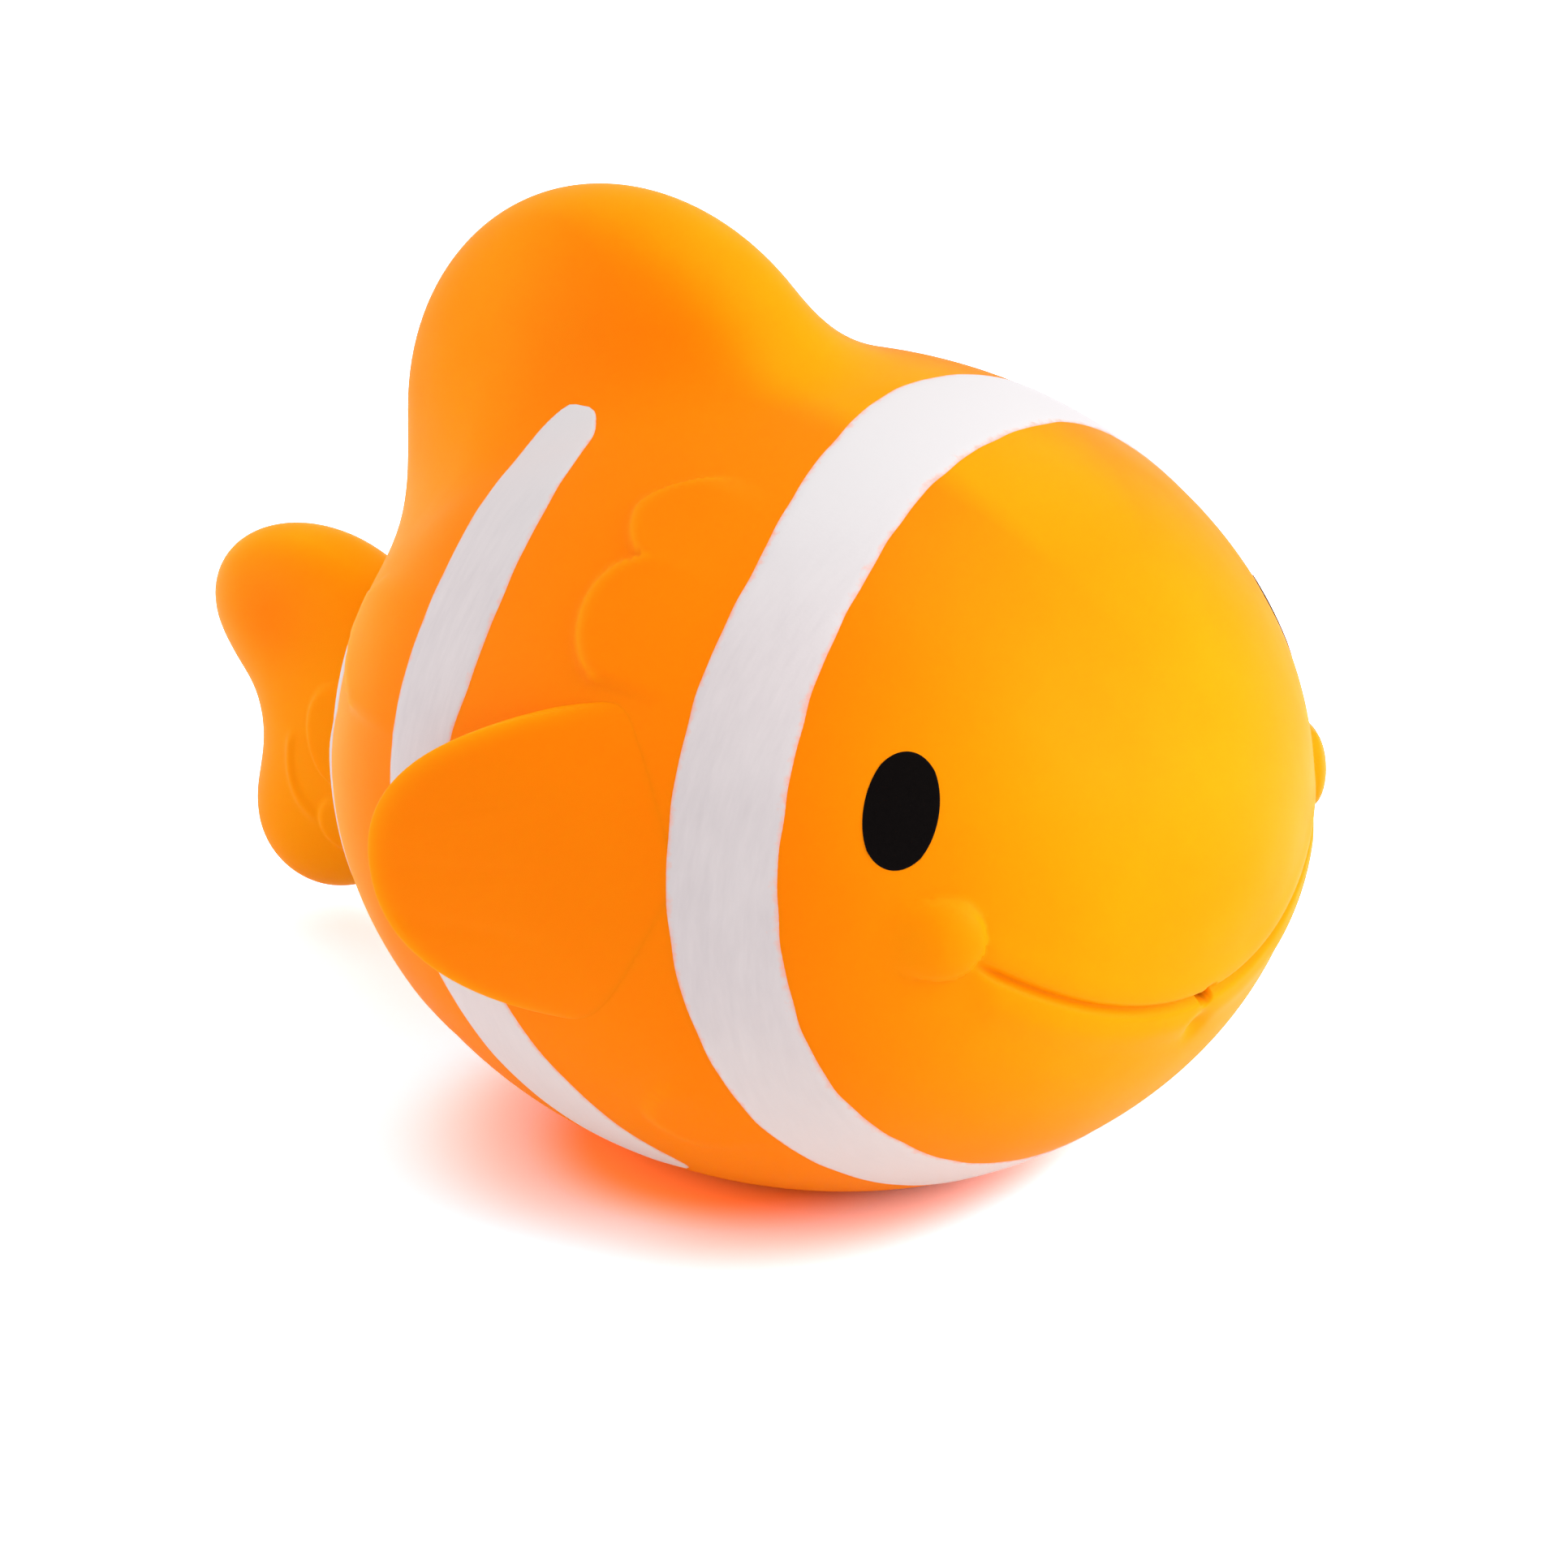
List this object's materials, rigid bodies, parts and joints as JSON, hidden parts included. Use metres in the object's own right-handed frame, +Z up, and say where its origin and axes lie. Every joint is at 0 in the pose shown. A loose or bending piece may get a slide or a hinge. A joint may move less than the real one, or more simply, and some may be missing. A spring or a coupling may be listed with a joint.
{
  "type": "squeaky bath toy",
  "caption": "Hollow soft-vinyl clownfish bath toy that squirts through its mouth and squeaks when its flanks are squeezed; side fins and tail flex, and a press-in squeaker sits in the belly.",
  "frame": {"origin": "on the floor under the middle of the part's bounding box", "axes": "+X to the nose, +Y to the fish's left, +Z up"},
  "size_m": [0.084, 0.0618, 0.0568],
  "materials": {
    "vinyl": "matte orange soft PVC",
    "white_paint": "matte white vinyl paint",
    "black_paint": "matte black vinyl paint",
    "squeaker_plastic": "natural white polyethylene",
    "reed_metal": "thin spring brass"
  },
  "bodies": {
    "body": {"body_skin": "vinyl", "front_band": "white_paint", "rear_band": "white_paint", "tail_band": "white_paint", "right_eye": "black_paint", "left_eye": "black_paint", "squeaker_tube": "squeaker_plastic", "reed_block": "squeaker_plastic", "reed_clamp": "squeaker_plastic"},
    "right_flank": {"right_flank": "vinyl", "right_flank_band": "white_paint"},
    "left_flank": {"left_flank": "vinyl", "left_flank_band": "white_paint"},
    "right_fin": {"right_fin": "vinyl"},
    "left_fin": {"left_fin": "vinyl"},
    "tail": {"tail_fin": "vinyl"},
    "reed": {"squeaker_reed": "reed_metal"}
  },
  "joints": [
    {"name": "right_squeeze", "type": "slide", "parent": "body", "child": "right_flank", "axis": [0, 1, 0], "range_m": [0, 0.006], "stiffness_N_per_m": 600},
    {"name": "left_squeeze", "type": "slide", "parent": "body", "child": "left_flank", "axis": [0, -1, 0], "range_m": [0, 0.006], "stiffness_N_per_m": 600},
    {"name": "right_fin_flex", "type": "hinge", "parent": "right_flank", "child": "right_fin", "pos_m": [0.0206, -0.0272, 0.0273], "axis": [0, 0, 1], "range_deg": [0, 30], "stiffness_Nm_per_rad": 0.02},
    {"name": "left_fin_flex", "type": "hinge", "parent": "left_flank", "child": "left_fin", "pos_m": [0.0206, 0.0272, 0.0273], "axis": [0, 0, -1], "range_deg": [0, 30], "stiffness_Nm_per_rad": 0.02},
    {"name": "tail_flex", "type": "hinge", "parent": "body", "child": "tail", "pos_m": [-0.0216, 0, 0.0147], "axis": [0, 0, 1], "range_deg": [-20, 20], "stiffness_Nm_per_rad": 0.05},
    {"name": "reed_flex", "type": "hinge", "parent": "body", "child": "reed", "pos_m": [0.0107, 0, 0.0024], "axis": [0, 1, 0], "range_deg": [-3, 3], "stiffness_Nm_per_rad": 0.002}
  ],
  "couplings": [
    {"joint": "left_squeeze", "follows": "right_squeeze", "ratio": 1}
  ]
}
